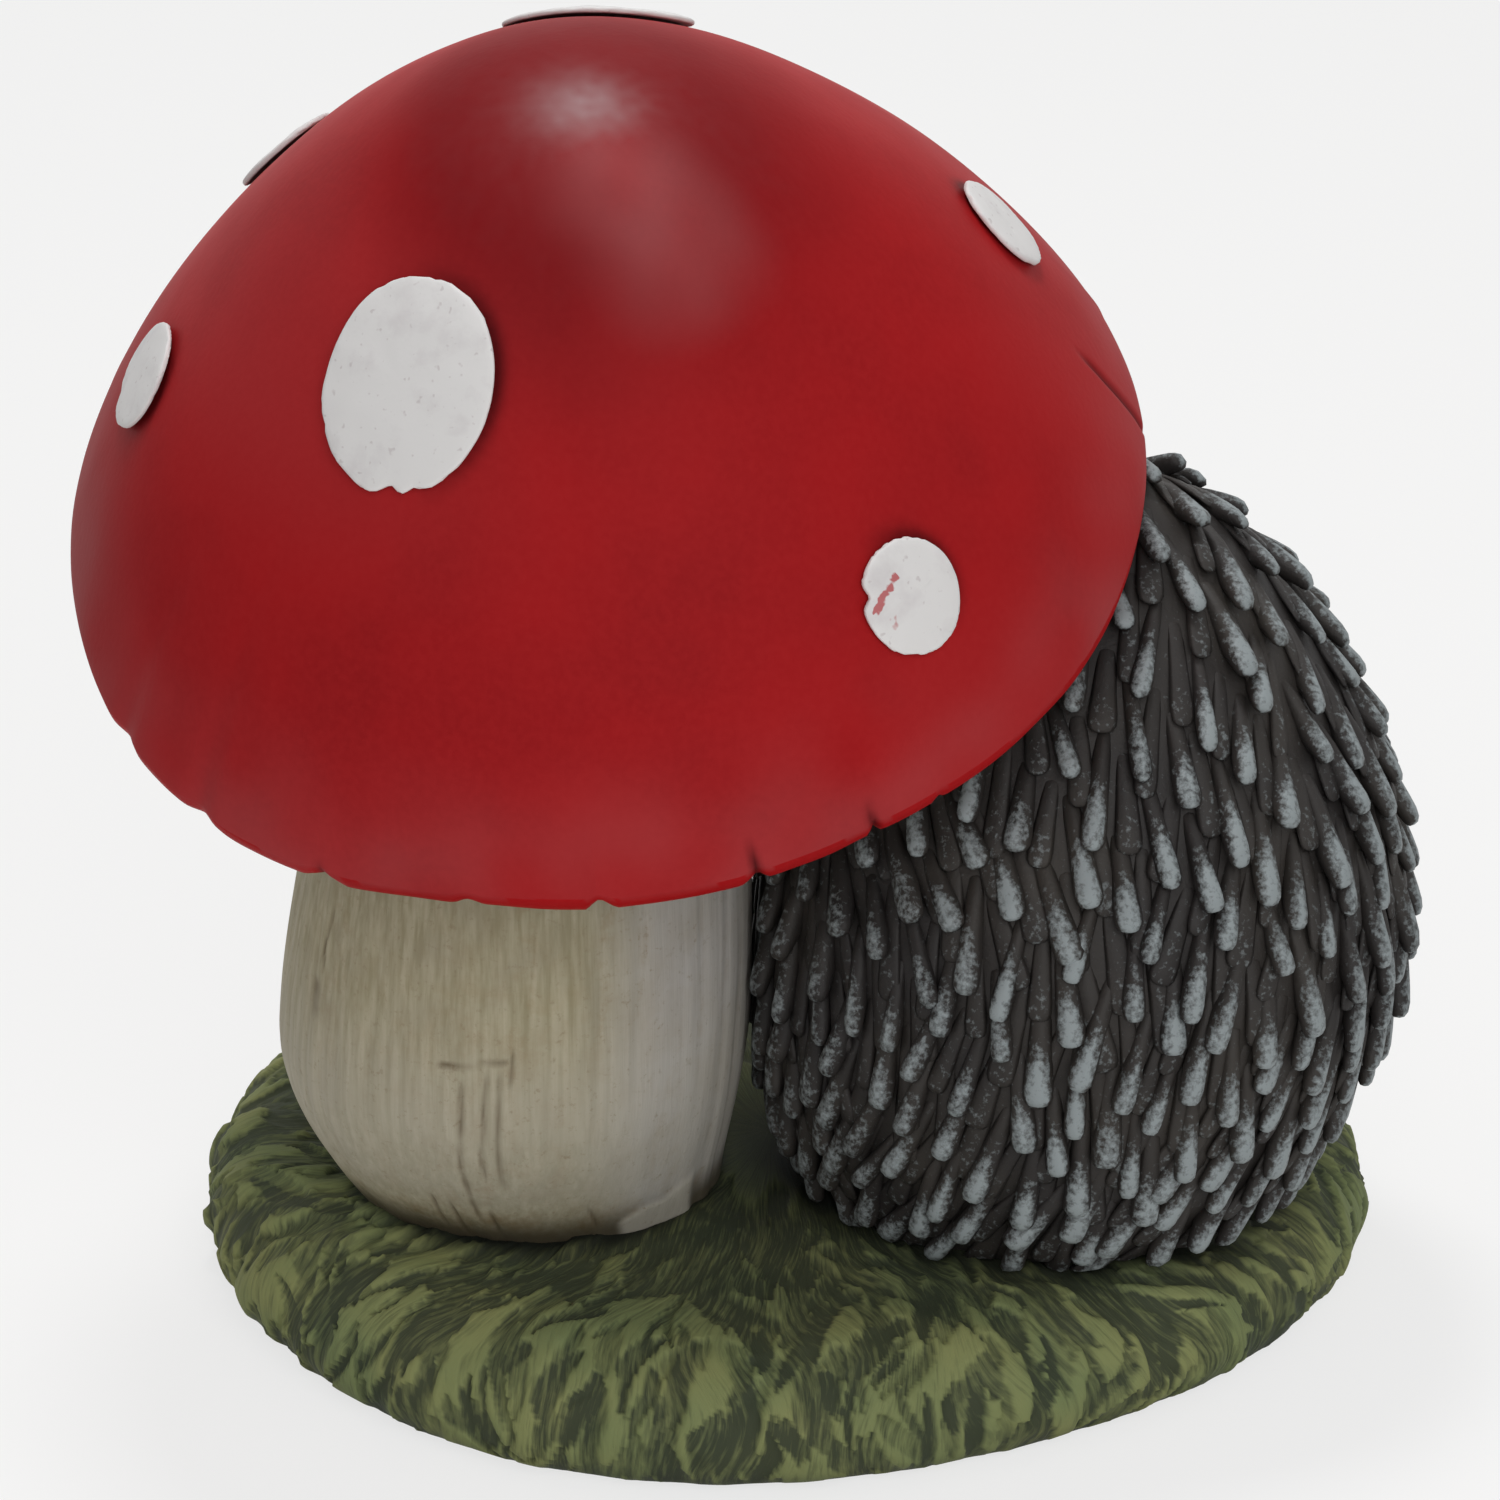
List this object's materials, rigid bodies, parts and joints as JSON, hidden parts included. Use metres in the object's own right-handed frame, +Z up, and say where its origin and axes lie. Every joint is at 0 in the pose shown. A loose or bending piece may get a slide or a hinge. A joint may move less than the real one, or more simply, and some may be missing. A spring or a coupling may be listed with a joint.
{
  "type": "hedgehog garden ornament",
  "caption": "painted cast-resin garden ornament: a spiny hedgehog sitting under a leaning red toadstool with raised white spots, both standing on an oval of modelled grass with a flat underside",
  "frame": {"origin": "centre of the flat underside of the grass base", "axes": "+Z up from the underside, the hedgehog looks along +Y, the toadstool stands towards -X of it"},
  "size_m": [0.1556, 0.1252, 0.1591],
  "materials": {
    "grass_paint": "matt green paint with lighter dry-brushed blades",
    "stem_paint": "matt cream paint with grey and ochre streaks",
    "cap_paint": "satin red paint",
    "gill_paint": "matt cream paint",
    "spot_paint": "matt white paint",
    "spine_paint": "dark brown paint with grey dry-brushed tips",
    "face_paint": "matt tan paint",
    "belly_paint": "matt light tan paint",
    "nose_gloss": "gloss black paint",
    "eye_gloss": "gloss black bead"
  },
  "bodies": {
    "root": {"grass_base": "grass_paint", "mushroom_stem": "stem_paint", "mushroom_cap": "cap_paint", "cap_gills": "gill_paint", "spot_front_large": "spot_paint", "spot_front_right": "spot_paint", "spot_left": "spot_paint", "spot_left_upper": "spot_paint", "spot_apex": "spot_paint", "spot_right_upper": "spot_paint", "spot_far_large": "spot_paint", "spot_far_left": "spot_paint", "spot_far_right": "spot_paint", "hedgehog_spine_coat": "spine_paint", "hedgehog_head": "face_paint", "hedgehog_nose": "nose_gloss", "hedgehog_belly": "belly_paint", "hedgehog_eye_left": "eye_gloss", "hedgehog_eye_right": "eye_gloss", "hedgehog_ear_left": "face_paint", "hedgehog_ear_right": "face_paint", "hedgehog_paw_left": "face_paint", "hedgehog_paw_right": "face_paint", "hedgehog_foot_left": "face_paint", "hedgehog_foot_right": "face_paint"}
  },
  "joints": []
}
